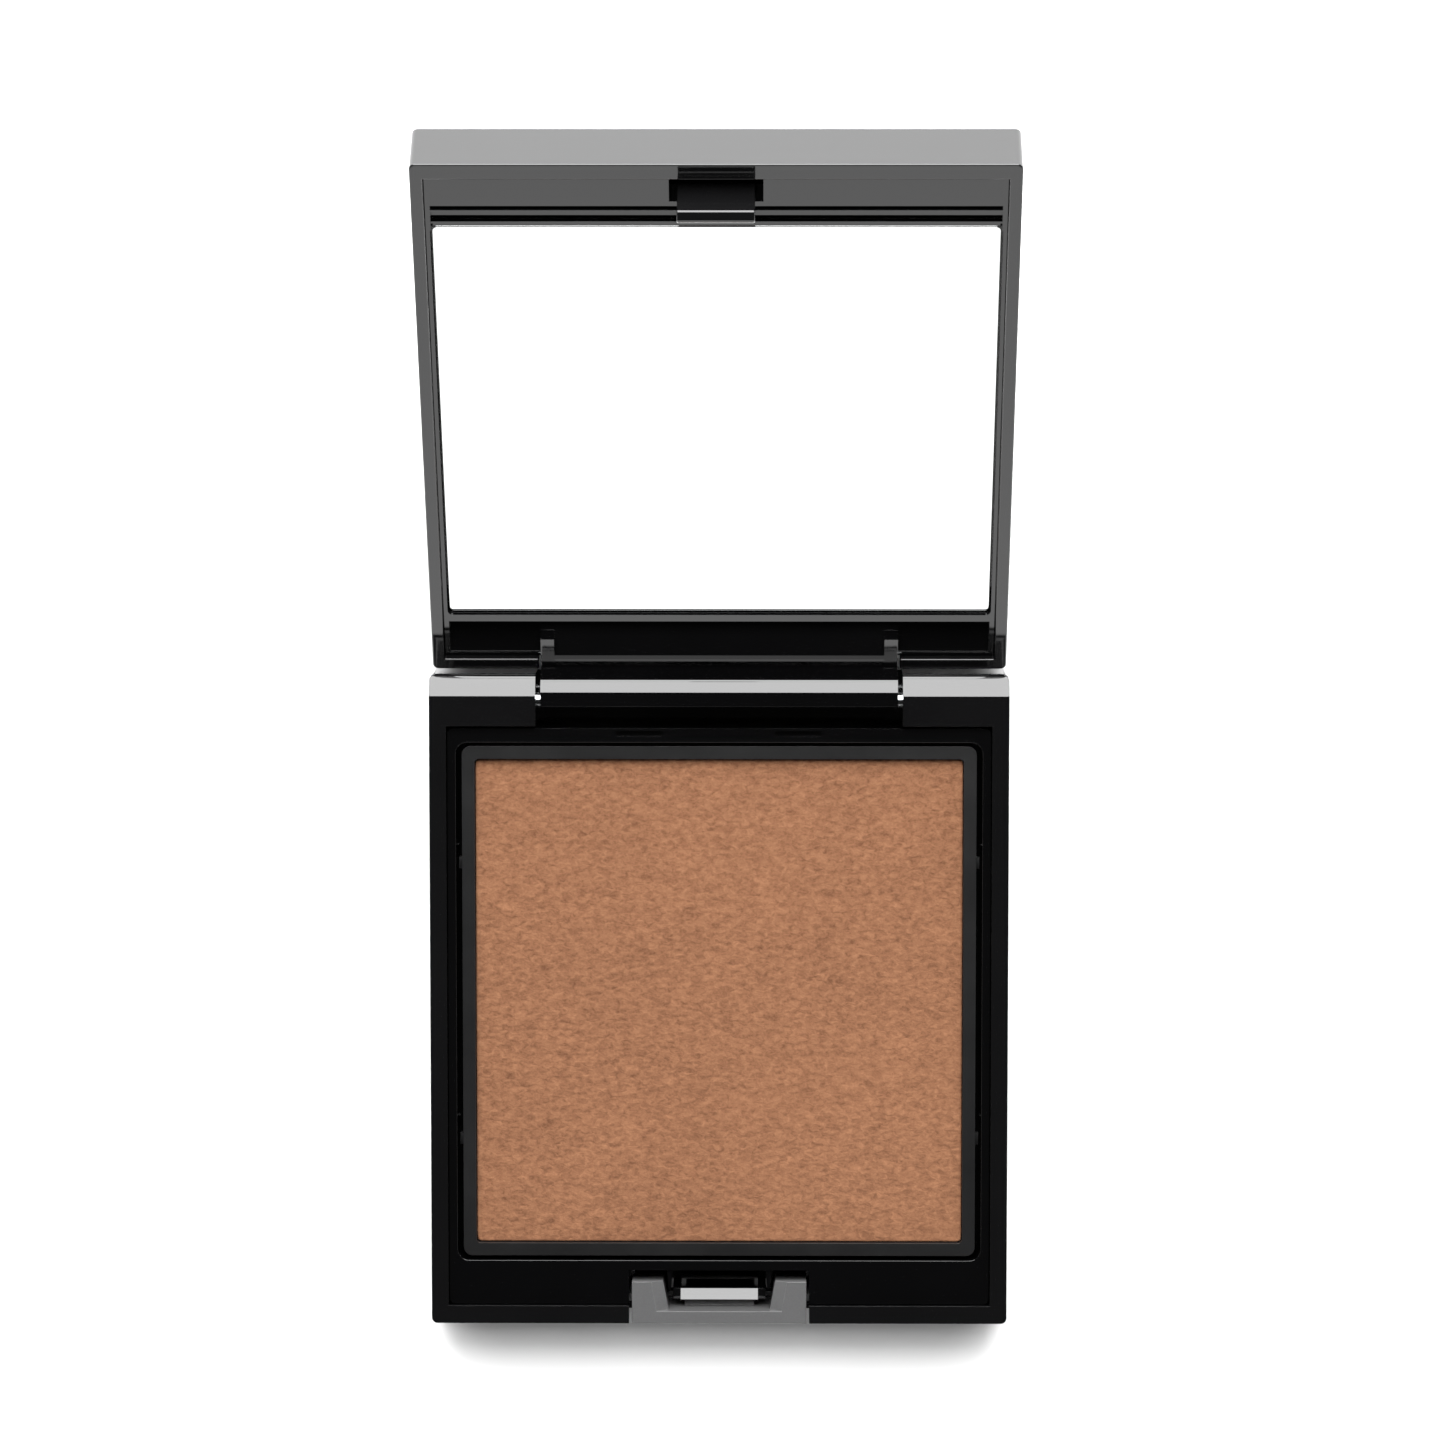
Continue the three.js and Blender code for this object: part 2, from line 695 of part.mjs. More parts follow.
function makeMirrorTape() {
  return slab(
    mirrorHalf - tapeMargin, mirrorFront + tapeMargin, mirrorRear - tapeMargin,
    mirrorBackZ + turnedGap, tapeBackZ, mirrorCornerRadius);
}

// ---------- the assembly ----------

const blackGloss = { color: 0x0b0b0c, roughness: 0.12, metalness: 0 };
const blackSatin = { color: 0x1f1f22, roughness: 0.42, metalness: 0 };
const greySatin = { color: 0x3c3d3f, roughness: 0.3, metalness: 0 };
const steel = { color: 0xb8babd, roughness: 0.25, metalness: 1 };
const tin = { color: 0xc4c6c8, roughness: 0.35, metalness: 1 };
const cake = { color: 0xb07650, roughness: 0.95, metalness: 0 };
const silvered = { color: 0xf2f4f5, roughness: 0.02, metalness: 1 };
const paper = { color: 0xe8e6e1, roughness: 0.8, metalness: 0 };
const foam = { color: 0xd8d8d4, roughness: 0.9, metalness: 0 };

function named(name, solid, look) {
  const mesh = new THREE.Mesh(geometryOf(solid), new THREE.MeshStandardMaterial(look));
  mesh.name = name;
  return mesh;
}

const compact = new THREE.Group();
compact.add(named('base_casing', makeBaseCasing(), blackGloss));
compact.add(named('deck_insert', makeDeckInsert(), blackGloss));
compact.add(named('refill_tray', makeRefillTray(), blackSatin));
compact.add(named('powder_pan', makePan(), tin));
compact.add(named('powder_cake', makePowder(), cake));
compact.add(named('pan_glue', makePanGlue(), foam));
compact.add(named('shade_label', makeShadeLabel(), paper));
compact.add(named('push_button', makeButton(), greySatin));
compact.add(named('hinge_pin_right', makeHingePin(1), steel));
compact.add(named('hinge_pin_left', makeHingePin(-1), steel));

// The lid's pieces are drawn shut and turned back about the hinge axis together.
const lid = new THREE.Group();
lid.position.set(0, axisY, axisZ);
lid.rotation.x = -openTurn;
for (const [name, solid, look] of [
  ['lid_shell', makeLidShell(), blackGloss],
  ['lid_inner_frame', makeLidFrame(), blackGloss],
  ['mirror', makeMirror(), silvered],
  ['mirror_tape', makeMirrorTape(), foam],
]) {
  const mesh = named(name, solid, look);
  mesh.position.set(0, -axisY, -axisZ);
  lid.add(mesh);
}
compact.add(lid);

export default compact;
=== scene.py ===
# %% [markdown]
# A slim powder compact, open on its base.
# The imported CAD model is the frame: it says where every part is and how the lid and the button move.
# This script gives each part its finished surface. Moulded parts get eased edges, the pressed powder
# gets its soft relief, and every finish is a node material that reads object coordinates.

import math

import bmesh
import bpy
from mathutils import Matrix, Vector, noise


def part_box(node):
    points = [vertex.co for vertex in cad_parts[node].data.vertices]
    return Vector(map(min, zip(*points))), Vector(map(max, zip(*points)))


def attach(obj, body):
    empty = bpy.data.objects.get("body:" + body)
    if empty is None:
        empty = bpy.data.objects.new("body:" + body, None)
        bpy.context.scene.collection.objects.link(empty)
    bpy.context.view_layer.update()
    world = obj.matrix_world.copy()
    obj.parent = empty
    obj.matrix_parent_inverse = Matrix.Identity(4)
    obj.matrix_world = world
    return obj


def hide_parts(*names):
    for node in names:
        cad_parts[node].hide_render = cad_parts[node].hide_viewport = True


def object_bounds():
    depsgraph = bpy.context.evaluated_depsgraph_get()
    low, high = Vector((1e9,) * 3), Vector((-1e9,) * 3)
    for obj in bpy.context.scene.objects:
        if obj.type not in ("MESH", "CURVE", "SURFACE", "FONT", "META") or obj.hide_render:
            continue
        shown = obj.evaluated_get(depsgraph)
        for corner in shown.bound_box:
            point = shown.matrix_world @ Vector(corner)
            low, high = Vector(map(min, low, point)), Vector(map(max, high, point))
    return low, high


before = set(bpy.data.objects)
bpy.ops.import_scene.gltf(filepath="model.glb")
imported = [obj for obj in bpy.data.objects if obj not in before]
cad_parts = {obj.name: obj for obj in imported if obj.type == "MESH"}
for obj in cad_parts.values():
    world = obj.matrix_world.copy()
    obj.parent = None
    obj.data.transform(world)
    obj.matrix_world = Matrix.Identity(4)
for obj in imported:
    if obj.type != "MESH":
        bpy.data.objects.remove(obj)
cad_low, cad_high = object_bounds()
MM = 0.001
print("nodes:", sorted(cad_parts))
print("CAD size in mm:", [round(v / MM, 2) for v in cad_high - cad_low])

# %% [markdown]
# The camera stands almost straight above the compact and leans a little towards the front, as a product
# photographer's stand does. It could be placed by eye, but a long lens at a known distance keeps the
# case's sides parallel, so the place and the focal length are written down as numbers.

# %% Camera
CAMERA_PLACE = Vector((0.0056, 0.0889, 0.5952))
CAMERA_AIM = Vector((0.00036, 0.0291, 0.0102))
LENS = 141.8
SENSOR = 36


def facing(place, aim):
    """A turn that looks from a place at an aim, with the case's rear at the top of the picture."""
    forward = (aim - place).normalized()
    right = forward.cross(Vector((0, 1, 0))).normalized()
    up = right.cross(forward)
    return Matrix((right, up, -forward)).transposed().to_quaternion()


def add_camera():
    data = bpy.data.cameras.new("overhead_camera")
    data.lens = LENS
    data.sensor_width = SENSOR
    data.clip_start = 0.01
    data.clip_end = 10
    camera = bpy.data.objects.new("overhead_camera", data)
    camera.location = CAMERA_PLACE
    camera.rotation_mode = "QUATERNION"
    camera.rotation_quaternion = facing(CAMERA_PLACE, CAMERA_AIM)
    bpy.context.scene.collection.objects.link(camera)
    bpy.context.scene.camera = camera
    return camera


add_camera()
bpy.context.scene.view_settings.view_transform = "Standard"
print("camera height in mm:", round(CAMERA_PLACE.z / MM))

# %% [markdown]
# Glossy black plastic shows the studio more than itself. A dark ceiling keeps its flat tops black, a tall
# white panel behind draws the bright lines on every edge that leans back, and a low white panel in front
# fills the mirror. Point lights would only leave small dots, so each light is a panel. A panel's
# brightness is given as radiance, and its power follows from its area.


# %% Light panels
def add_panel(name, lower, upper, width, radiance):
    """A one-sided white panel between the middles of its lower and upper edges. It faces the compact."""
    lower, upper = Vector(lower), Vector(upper)
    along = upper - lower
    data = bpy.data.lights.new(name, "AREA")
    data.shape = "RECTANGLE"
    data.size = width
    data.size_y = along.length
    data.energy = radiance * math.pi * width * along.length
    panel = bpy.data.objects.new(name, data)
    centre = (lower + upper) / 2
    across = along.cross(centre).normalized()
    facing_out = across.cross(along).normalized()
    panel.location = centre
    panel.rotation_mode = "QUATERNION"
    panel.rotation_quaternion = Matrix((across, along.normalized(), facing_out)).transposed().to_quaternion()
    panel.visible_camera = False
    bpy.context.scene.collection.objects.link(panel)
    return panel


BACK_LOWER = (0, 0.46, 0.02)
BACK_UPPER = (0, 0.22, 0.60)
add_panel("back_panel", BACK_LOWER, BACK_UPPER, 0.42, 8.0)
add_panel("front_panel", (0, -0.55, 0.01), (0, -0.55, 0.37), 1.10, 1.45)
add_panel("left_panel", (-0.50, 0, 0.02), (-0.50, 0, 0.22), 0.60, 1.0)
add_panel("right_panel", (0.50, 0, 0.02), (0.50, 0, 0.22), 0.60, 1.0)

# %% [markdown]
# The surroundings are a dark ceiling over a white horizon. A ramp on the height of the view direction
# makes that in one step, where a modelled room would need walls.

# %% Surroundings
CEILING = 0.012
HORIZON = 1.0


def add_surroundings():
    world = bpy.data.worlds.new("studio")
    bpy.context.scene.world = world
    world.use_nodes = True
    nodes, links = world.node_tree.nodes, world.node_tree.links
    direction = nodes.new("ShaderNodeTexCoord")
    height = nodes.new("ShaderNodeSeparateXYZ")
    ramp = nodes.new("ShaderNodeValToRGB")
    ramp.color_ramp.interpolation = "EASE"
    ramp.color_ramp.elements[0].position = 0.10
    ramp.color_ramp.elements[0].color = (HORIZON, HORIZON, HORIZON, 1)
    ramp.color_ramp.elements[1].position = 0.34
    ramp.color_ramp.elements[1].color = (CEILING, CEILING, CEILING, 1)
    links.new(direction.outputs["Generated"], height.inputs["Vector"])
    links.new(height.outputs["Z"], ramp.inputs["Fac"])
    links.new(ramp.outputs["Color"], nodes["Background"].inputs["Color"])
    return world


add_surroundings()
print("horizon", HORIZON, "ceiling", CEILING)

# %% [markdown]
# The floor is a plain white sheet. A separate light falls on the floor alone, steeply from behind, so the
# sheet burns out to white and the case drops one short soft shadow at its front. Without a light of its
# own the floor would turn grey whenever the case is lit to look black.

# %% Floor
FLOOR_HALF = 2.0
FLOOR_GAP = 0.02 * MM


def principled(name):
    """A new node material and its shader."""
    material = bpy.data.materials.new(name)
    material.use_nodes = True
    return material, material.node_tree.nodes["Principled BSDF"]


def add_floor():
    material, shader = principled("white_sheet")
    shader.inputs["Base Color"].default_value = (0.9, 0.9, 0.9, 1)
    shader.inputs["Roughness"].default_value = 0.9
    shader.inputs["Specular IOR Level"].default_value = 0.1
    sheet = bmesh.new()
    bmesh.ops.create_grid(sheet, x_segments=1, y_segments=1, size=FLOOR_HALF)
    bmesh.ops.translate(sheet, verts=sheet.verts, vec=(0, 0, cad_low.z - FLOOR_GAP))
    mesh = bpy.data.meshes.new("floor")
    sheet.to_mesh(mesh)
    sheet.free()
    mesh.materials.append(material)
    floor = bpy.data.objects.new("floor", mesh)
    bpy.context.scene.collection.objects.link(floor)
    return floor


def add_floor_light(floor):
    light = add_panel("floor_panel", (0, 0.40, 0.30), (0, 0.12, 0.66), 0.90, 5.4)
    receivers = bpy.data.collections.new("lit_by_floor_panel")
    receivers.objects.link(floor)
    light.light_linking.receiver_collection = receivers
    return light


add_floor_light(add_floor())
print("floor at z in mm:", round((cad_low.z - FLOOR_GAP) / MM, 3))

# %% [markdown]
# Each finish starts from the same three steps: object coordinates, a few noise textures, and a shader
# that they vary a little. Image textures could do this too, but noise has no seams and holds at any zoom.
# These helpers keep the materials short. Object coordinates are in metres, so a noise scale of 1000 has
# features about one millimetre across.


# %% Material helpers
def object_coordinates(material, stretch=(1, 1, 1), turn=(0, 0, 0)):
    """Object coordinates, stretched and turned, for a pattern."""
    nodes, links = material.node_tree.nodes, material.node_tree.links
    place = nodes.new("ShaderNodeTexCoord")
    mapping = nodes.new("ShaderNodeMapping")
    mapping.inputs["Scale"].default_value = stretch
    mapping.inputs["Rotation"].default_value = turn
    links.new(place.outputs["Object"], mapping.inputs["Vector"])
    return mapping.outputs["Vector"]


def noise_value(material, vector, scale, detail=4, roughness=0.55, distortion=0.0):
    """A grey noise pattern."""
    nodes, links = material.node_tree.nodes, material.node_tree.links
    texture = nodes.new("ShaderNodeTexNoise")
    texture.inputs["Scale"].default_value = scale
    texture.inputs["Detail"].default_value = detail
    texture.inputs["Roughness"].default_value = roughness
    texture.inputs["Distortion"].default_value = distortion
    links.new(vector, texture.inputs["Vector"])
    return texture.outputs["Fac"]


def remapped(material, value, low, high, to_low, to_high):
    """A value carried from one range to another, held at the ends."""
    nodes, links = material.node_tree.nodes, material.node_tree.links
    ranger = nodes.new("ShaderNodeMapRange")
    ranger.inputs["From Min"].default_value = low
    ranger.inputs["From Max"].default_value = high
    ranger.inputs["To Min"].default_value = to_low
    ranger.inputs["To Max"].default_value = to_high
    links.new(value, ranger.inputs["Value"])
    return ranger.outputs["Result"]


def added(material, first, second):
    """The sum of two values."""
    nodes, links = material.node_tree.nodes, material.node_tree.links
    total = nodes.new("ShaderNodeMath")
    total.operation = "ADD"
    links.new(first, total.inputs[0])
    links.new(second, total.inputs[1])
    return total.outputs["Value"]


def colour_between(material, value, first, second):
    """A colour that goes from the first to the second as the value goes from 0 to 1."""
    nodes, links = material.node_tree.nodes, material.node_tree.links
    ramp = nodes.new("ShaderNodeValToRGB")
    ramp.color_ramp.elements[0].color = (*first, 1)
    ramp.color_ramp.elements[1].color = (*second, 1)
    links.new(value, ramp.inputs["Fac"])
    return ramp.outputs["Color"]


def bump(material, shader, height, distance, strength=1.0):
    """Fine relief on the shader's normal. The distance is the relief's depth in metres."""
    nodes, links = material.node_tree.nodes, material.node_tree.links
    relief = nodes.new("ShaderNodeBump")
    relief.inputs["Distance"].default_value = distance
    relief.inputs["Strength"].default_value = strength
    links.new(height, relief.inputs["Height"])
    links.new(relief.outputs["Normal"], shader.inputs["Normal"])


print("helpers ready")

# %% [markdown]
# The case is black plastic from a mirror-polished mould. It is almost perfectly smooth, so its character
# is in small faults: a faint orange peel that makes reflections waver, and hairline wipe marks that
# change the gloss but not the colour. Both are noise, one round and one drawn out into streaks.


# %% Gloss black plastic
def gloss_black(name, colour, gloss_low=0.05, gloss_high=0.11):
    material, shader = principled(name)
    links = material.node_tree.links
    plain = object_coordinates(material)
    streaked = object_coordinates(material, stretch=(1, 14, 1), turn=(0, 0, 0.6))
    cloud = noise_value(material, plain, 90, detail=3)
    wipes = noise_value(material, streaked, 420, detail=5, roughness=0.7)
    wear = added(material, remapped(material, cloud, 0.35, 0.7, 0, 0.5), remapped(material, wipes, 0.5, 0.75, 0, 0.5))
    links.new(remapped(material, wear, 0, 1, gloss_low, gloss_high), shader.inputs["Roughness"])
    tint = colour_between(material, cloud, tuple(0.8 * c for c in colour), tuple(1.25 * c for c in colour))
    links.new(tint, shader.inputs["Base Color"])
    shader.inputs["Specular IOR Level"].default_value = 0.85
    peel = noise_value(material, plain, 260, detail=2, roughness=0.4)
    bump(material, shader, peel, 0.004 * MM)
    return material


CASE_BLACK = (0.0050, 0.0050, 0.0053)
DECK_BLACK = (0.0022, 0.0022, 0.0024)
case_finish = gloss_black("gloss_black_case", CASE_BLACK)
deck_finish = gloss_black("gloss_black_deck", DECK_BLACK)
lid_frame_finish = gloss_black("gloss_black_lid_frame", DECK_BLACK)
print("gloss finishes:", case_finish.name, deck_finish.name, lid_frame_finish.name)

# %% [markdown]
# The refill tray and the button come from moulds with a blasted surface. A fine, even grain breaks the
# reflection up and leaves a soft sheen. The grain is a small noise in the bump, with a second, larger
# one in the roughness where fingers have polished it.


# %% Satin plastics
def satin(name, colour, roughness, grain_depth):
    material, shader = principled(name)
    links = material.node_tree.links
    plain = object_coordinates(material)
    grain = noise_value(material, plain, 5200, detail=3, roughness=0.6)
    polish = noise_value(material, plain, 160, detail=4)
    links.new(
        remapped(material, polish, 0.3, 0.7, roughness * 0.88, roughness * 1.12), shader.inputs["Roughness"])
    speck = colour_between(material, grain, tuple(0.85 * c for c in colour), tuple(1.15 * c for c in colour))
    links.new(speck, shader.inputs["Base Color"])
    bump(material, shader, grain, grain_depth)
    return material


TRAY_BLACK = (0.0095, 0.0095, 0.0098)
BUTTON_GREY = (0.125, 0.125, 0.126)
tray_finish = satin("satin_black_tray", TRAY_BLACK, 0.38, 0.004 * MM)
button_finish = satin("satin_grey_button", BUTTON_GREY, 0.36, 0.003 * MM)
print("satin finishes:", tray_finish.name, button_finish.name)

# %% [markdown]
# Pressed powder is matt, warm and slightly uneven. The press leaves a soft grain like fine leather, with
# short ripples that run across the cake, and the pigment varies a little in tone. Three noises make
# that: a broad cloud for the pigment's tone, drawn-out ripples, and a fine grit. The ripples and the grit
# raise the relief and also darken the colour where it is low, which is painted shade that deepens the
# grain. A little sheen stands for the mica in the powder.

# %% Pressed powder
# The dark colour is mostly painted shade for the low parts of the relief, with a little of the pigment's own darker
# tone. The light colour is the powder's own.
POWDER_DARK_WITH_PAINTED_SHADE = (0.105, 0.040, 0.019)
POWDER_LIGHT = (0.485, 0.226, 0.116)
RIPPLE_DEPTH = 0.075 * MM


def pressed_powder():
    material, shader = principled("pressed_powder")
    links = material.node_tree.links
    plain = object_coordinates(material)
    across = object_coordinates(material, stretch=(1, 1.7, 1), turn=(0, 0, 0.16))
    ripples = noise_value(material, across, 1250, detail=5, roughness=0.62, distortion=0.6)
    grit = noise_value(material, plain, 4200, detail=3, roughness=0.6)
    cloud = noise_value(material, plain, 60, detail=3)
    # The ripples and the grit darken the colour where the relief is low. That is painted shade on top of the bump's
    # real shading. The cloud adds the pigment's own tone.
    tone_and_painted_shade = added(material, remapped(material, ripples, 0.30, 0.70, 0.08, 0.62), remapped(material, grit, 0.25, 0.75, 0, 0.22))
    tone_and_painted_shade = added(material, tone_and_painted_shade, remapped(material, cloud, 0.3, 0.7, 0, 0.10))
    links.new(colour_between(material, tone_and_painted_shade, POWDER_DARK_WITH_PAINTED_SHADE, POWDER_LIGHT), shader.inputs["Base Color"])
    shader.inputs["Roughness"].default_value = 0.92
    shader.inputs["Specular IOR Level"].default_value = 0.25
    shader.inputs["Sheen Weight"].default_value = 0.08
    shader.inputs["Sheen Roughness"].default_value = 0.5
    relief = added(material, ripples, remapped(material, grit, 0, 1, 0, 0.25))
    bump(material, shader, relief, RIPPLE_DEPTH)
    return material


powder_finish = pressed_powder()
print("powder finish:", powder_finish.name)

# %% [markdown]
# The small hidden parts have finishes too, because the compact can be opened up. The mirror is silvered
# glass, the pan is tinplate with its rolling grain, the pins are drawn steel, and glue, foam tape and
# paper are soft and matt.


# %% Metals, mirror and soft trim
def metal(name, colour, roughness, stretch, scale, depth):
    material, shader = principled(name)
    links = material.node_tree.links
    shader.inputs["Metallic"].default_value = 1.0
    drawn = object_coordinates(material, stretch=stretch)
    grain = noise_value(material, drawn, scale, detail=5, roughness=0.65)
    links.new(remapped(material, grain, 0.3, 0.7, roughness * 0.7, roughness * 1.3), shader.inputs["Roughness"])
    tint = colour_between(material, grain, tuple(0.92 * c for c in colour), colour)
    links.new(tint, shader.inputs["Base Color"])
    bump(material, shader, grain, depth)
    return material


def silvered_glass():
    material, shader = principled("silvered_glass")
    links = material.node_tree.links
    shader.inputs["Metallic"].default_value = 1.0
    haze = noise_value(material, object_coordinates(material), 45, detail=3)
    links.new(remapped(material, haze, 0.35, 0.75, 0.006, 0.014), shader.inputs["Roughness"])
    tint = colour_between(material, haze, (0.93, 0.945, 0.94), (0.97, 0.975, 0.975))
    links.new(tint, shader.inputs["Base Color"])
    return material


def matt(name, colour, scale, depth):
    material, shader = principled(name)
    links = material.node_tree.links
    fibre = noise_value(material, object_coordinates(material), scale, detail=6, roughness=0.7)
    tint = colour_between(material, fibre, tuple(0.85 * c for c in colour), colour)
    links.new(tint, shader.inputs["Base Color"])
    shader.inputs["Roughness"].default_value = 0.85
    bump(material, shader, fibre, depth)
    return material


mirror_finish = silvered_glass()
pan_finish = metal("rolled_tinplate", (0.62, 0.63, 0.64), 0.33, (1, 18, 1), 500, 0.002 * MM)
pin_finish = metal("drawn_steel", (0.58, 0.59, 0.60), 0.22, (1, 20, 20), 300, 0.001 * MM)
glue_finish = matt("set_glue", (0.62, 0.60, 0.55), 300, 0.02 * MM)
tape_finish = matt("foam_tape", (0.66, 0.66, 0.64), 3500, 0.05 * MM)
label_finish = matt("paper_label", (0.80, 0.79, 0.76), 2500, 0.01 * MM)
print("small finishes made")

# %% [markdown]
# A moulded part never has a knife edge: the mould leaves a radius of a tenth or two of a millimetre, and
# that radius is what catches the light. The frame's parts are exact but sharp, and their flat faces are
# cut into triangles. So each one is copied, its doubled points are merged, its flat faces are made whole
# again, and its sharp edges are eased by a bevel. The frame's own mesh isn't touched. The bevel could be
# a shader effect, but then the shape itself would still be sharp.

# %% Eased copies of moulded parts
MERGE_DISTANCE = 0.002 * MM
FLAT_ANGLE = math.radians(0.6)
SHARP_ANGLE = math.radians(35)
FOLD_LOW = math.radians(18)
FOLD_HIGH = math.radians(28)
FOLD_LENGTH = 3 * MM
FOLD_ROUND = 0.08 * MM


def merged_copy(node):
    """The node's shape as a clean bmesh with whole flat faces."""
    shape = bmesh.new()
    shape.from_mesh(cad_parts[node].data)
    bmesh.ops.remove_doubles(shape, verts=shape.verts, dist=MERGE_DISTANCE)
    bmesh.ops.dissolve_limit(shape, angle_limit=FLAT_ANGLE, verts=shape.verts, edges=shape.edges)
    return shape


def ease_edges(shape, radius, segments, chosen=None):
    """Rounds the sharp edges of a closed shape, or those of them that are chosen."""
    sharp = [e for e in shape.edges if len(e.link_faces) == 2 and e.calc_face_angle() > SHARP_ANGLE]
    picked = [e for e in sharp if chosen is None or chosen(e)]
    bmesh.ops.bevel(
        shape, geom=picked, offset=radius, offset_type="OFFSET", affect="EDGES", segments=segments,
        profile=0.5, material=-1, clamp_overlap=True)
    return len(picked)


def finished_piece(shape, name, body, slot, finish, *nodes):
    """Turns a bmesh into a shaded piece that rides on its body and stands for its CAD nodes."""
    for face in shape.faces:
        face.smooth = True
    for edge in shape.edges:
        edge.smooth = len(edge.link_faces) != 2 or edge.calc_face_angle() < SHARP_ANGLE
    mesh = bpy.data.meshes.new(name)
    shape.to_mesh(mesh)
    shape.free()
    mesh.materials.append(finish)
    piece = bpy.data.objects.new(name, mesh)
    bpy.context.scene.collection.objects.link(piece)
    even = piece.modifiers.new("even_flats", "WEIGHTED_NORMAL")
    even.keep_sharp = True
    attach(piece, body)
    if nodes:
        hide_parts(*nodes)
    return piece


def ease_slopes(shape):
    """Gives the gentle folds across the case a narrow round, so that the slopes beside them stay flat."""
    folds = [
        e for e in shape.edges
        if len(e.link_faces) == 2 and FOLD_LOW < e.calc_face_angle() < FOLD_HIGH
        and abs(e.verts[0].co.x - e.verts[1].co.x) > FOLD_LENGTH]
    bmesh.ops.bevel(
        shape, geom=folds, offset=FOLD_ROUND, offset_type="OFFSET", affect="EDGES", segments=2,
        profile=0.5, material=-1, clamp_overlap=True)


def eased_piece(node, name, body, slot, finish, radius, soft_edges=None, soft_radius=0, segments=3):
    """An eased copy of a node. Its soft edges, if it has any, get a larger round first."""
    shape = merged_copy(node)
    ease_slopes(shape)
    if soft_edges:
        print(f"{name}: {ease_edges(shape, soft_radius, 5, soft_edges)} soft edges of {soft_radius / MM:.2f} mm")
    count = ease_edges(shape, radius, segments)
    print(f"{name}: {count} edges eased by {radius / MM:.2f} mm, {len(shape.faces)} faces")
    return finished_piece(shape, name, body, slot, finish, node)


# %% Base parts
eased_piece("base_casing", "base_shell", "base", "black_gloss", case_finish, 0.16 * MM)
deck_low, deck_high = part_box("deck_insert")
tray_low, tray_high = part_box("refill_tray")
WELL_REACH = 1.5 * MM


def is_well_rim(edge):
    """True for the top edges of the well, which run just outside the tray."""
    return all(
        v.co.z > deck_high.z - MERGE_DISTANCE
        and tray_low.x - WELL_REACH < v.co.x < tray_high.x + WELL_REACH
        and tray_low.y - WELL_REACH < v.co.y < tray_high.y + WELL_REACH for v in edge.verts)


eased_piece(
    "deck_insert", "deck", "base", "black_gloss", deck_finish, 0.14 * MM, is_well_rim, 0.35 * MM)
eased_piece("refill_tray", "tray", "base", "black_satin", tray_finish, 0.14 * MM)
eased_piece("powder_pan", "pan", "base", "tinplate", pan_finish, 0.06 * MM)
eased_piece("pan_glue", "glue_dab", "base", "foam", glue_finish, 0.08 * MM)
eased_piece("shade_label", "blank_label", "base", "paper", label_finish, 0.03 * MM)

# %% Button
eased_piece("push_button", "button", "button", "grey_satin", button_finish, 0.12 * MM)

# %% Lid parts
eased_piece("lid_shell", "lid_case", "lid", "black_gloss", case_finish, 0.16 * MM)
eased_piece("lid_inner_frame", "lid_panel", "lid", "black_gloss", lid_frame_finish, 0.10 * MM)
eased_piece("mirror", "mirror_glass", "lid", "mirror", mirror_finish, 0.18 * MM)
eased_piece("mirror_tape", "tape", "lid", "foam", tape_finish, 0.05 * MM)

# %% [markdown]
# The hinge pins are cut from drawn wire and chamfered so that they start into their holes. A cone
# operator with equal radii gives the cylinder, turned to lie across the case, and a bevel on the two rims
# gives the chamfer.

# %% Hinge pins
PIN_SEGMENTS = 48
PIN_CHAMFER = 0.15 * MM


def add_hinge_pin(node, name):
    low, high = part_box(node)
    radius = (high.z - low.z) / 2
    pin = bmesh.new()
    bmesh.ops.create_cone(
        pin, cap_ends=True, segments=PIN_SEGMENTS, radius1=radius, radius2=radius, depth=high.x - low.x,
        matrix=Matrix.Translation((low + high) / 2) @ Matrix.Rotation(math.pi / 2, 4, "Y"))
    rims = [e for e in pin.edges if e.calc_face_angle() > SHARP_ANGLE]
    bmesh.ops.bevel(
        pin, geom=rims, offset=PIN_CHAMFER, offset_type="OFFSET", affect="EDGES", segments=2, profile=0.5,
        material=-1)
    return finished_piece(pin, name, "base", "steel", pin_finish, node)


for side in ("left", "right"):
    add_hinge_pin(f"hinge_pin_{side}", f"pin_{side}")
print("pins:", PIN_SEGMENTS, "sides each")

# %% [markdown]
# The cake is pressed into its pan through a cloth, which leaves a surface that is flat overall but never
# quite even, with a crisp rounded rim. A fine grid gives the top enough points to carry real relief. Its
# border is extruded down for the wall, the rim is bevelled, and the points in the middle are then moved
# by a noise that fades out towards the rim.

# %% Powder cake
CAKE_SEGMENTS = 190
CAKE_CORNER = 0.45 * MM
CAKE_RIM = 0.16 * MM
CAKE_RELIEF = 0.020 * MM
CAKE_FADE = 1.2 * MM
CAKE_BACK = 0.3 * MM


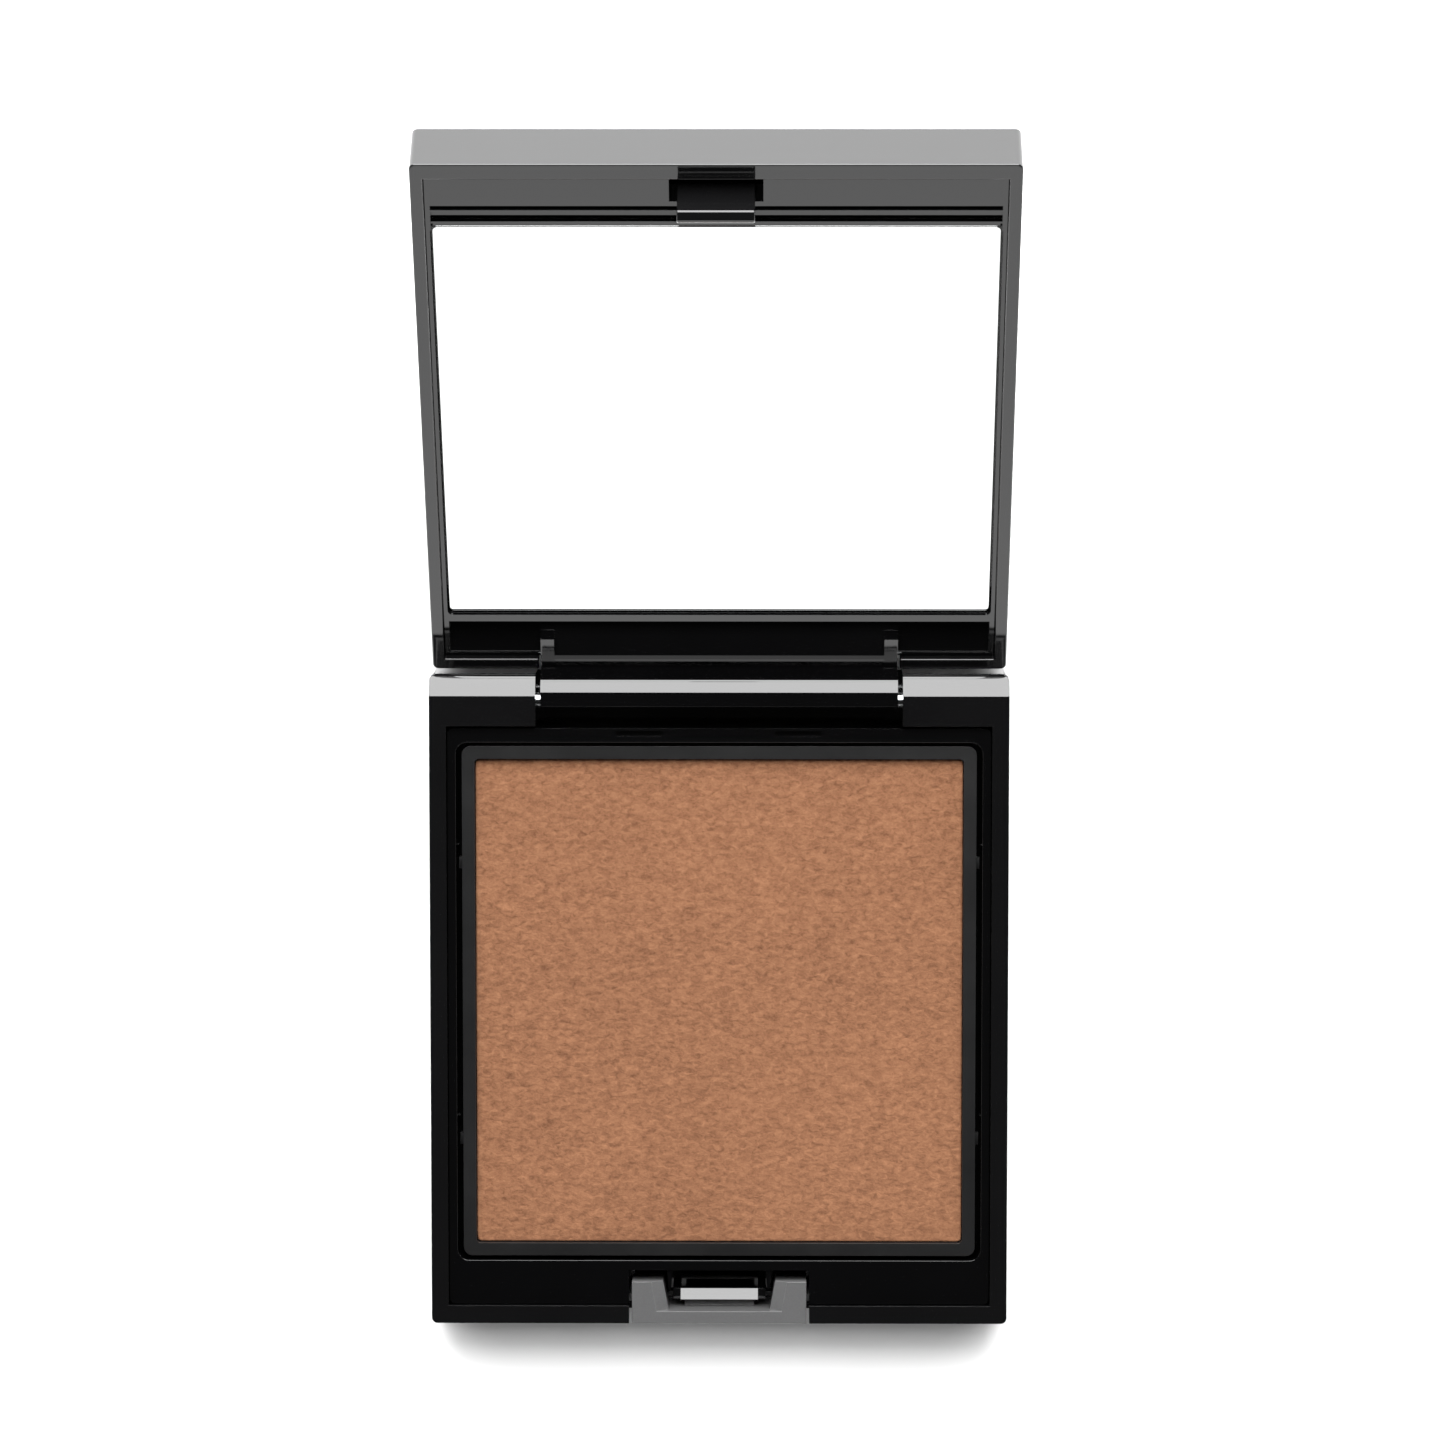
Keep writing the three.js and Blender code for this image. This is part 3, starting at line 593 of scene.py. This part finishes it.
def round_corners(shape, low, high, radius):
    """Draws the corner points of a rectangular sheet onto a round of that radius."""
    for vert in shape.verts:
        x = min(max(vert.co.x, low.x + radius), high.x - radius)
        y = min(max(vert.co.y, low.y + radius), high.y - radius)
        away = Vector((vert.co.x - x, vert.co.y - y, 0))
        if away.length > radius:
            vert.co.xy = (Vector((x, y, 0)) + away.normalized() * radius).xy


def relief_at(point):
    """Height of the pressed surface, from long ripples and short ones, between about -1 and 1."""
    long_wave = noise.noise(Vector((point.x * 260, point.y * 520, 3.0)))
    short_wave = noise.noise(Vector((point.x * 700 + point.y * 90, point.y * 1500, 7.0)))
    return 0.6 * long_wave + 0.4 * short_wave


def add_powder_cake():
    low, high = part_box("powder_cake")
    middle = (low + high) / 2
    cake = bmesh.new()
    bmesh.ops.create_grid(cake, x_segments=CAKE_SEGMENTS, y_segments=CAKE_SEGMENTS, size=0.5)
    bmesh.ops.scale(cake, verts=cake.verts, vec=(high.x - low.x, high.y - low.y, 1))
    bmesh.ops.translate(cake, verts=cake.verts, vec=(middle.x, middle.y, high.z))
    round_corners(cake, low, high, CAKE_CORNER)
    border = [e for e in cake.edges if e.is_boundary]
    wall = bmesh.ops.extrude_edge_only(cake, edges=border)["geom"]
    skirt = [v for v in wall if isinstance(v, bmesh.types.BMVert)]
    bmesh.ops.translate(cake, verts=skirt, vec=(0, 0, -CAKE_BACK))
    bmesh.ops.holes_fill(cake, edges=[e for e in cake.edges if e.is_boundary], sides=0)
    bmesh.ops.recalc_face_normals(cake, faces=cake.faces)
    rim = [e for e in border if e.calc_face_angle() > SHARP_ANGLE]
    bmesh.ops.bevel(
        cake, geom=rim, offset=CAKE_RIM, offset_type="OFFSET", affect="EDGES", segments=3, profile=0.5,
        material=-1)
    for vert in cake.verts:
        reach = min(vert.co.x - low.x, high.x - vert.co.x, vert.co.y - low.y, high.y - vert.co.y)
        fade = min(max((reach - CAKE_RIM) / CAKE_FADE, 0), 1)
        vert.co.z += CAKE_RELIEF * fade * (relief_at(vert.co) - 0.6)
    print("powder cake:", len(cake.faces), "faces")
    return finished_piece(cake, "pressed_cake", "base", "powder", powder_finish, "powder_cake")


add_powder_cake()
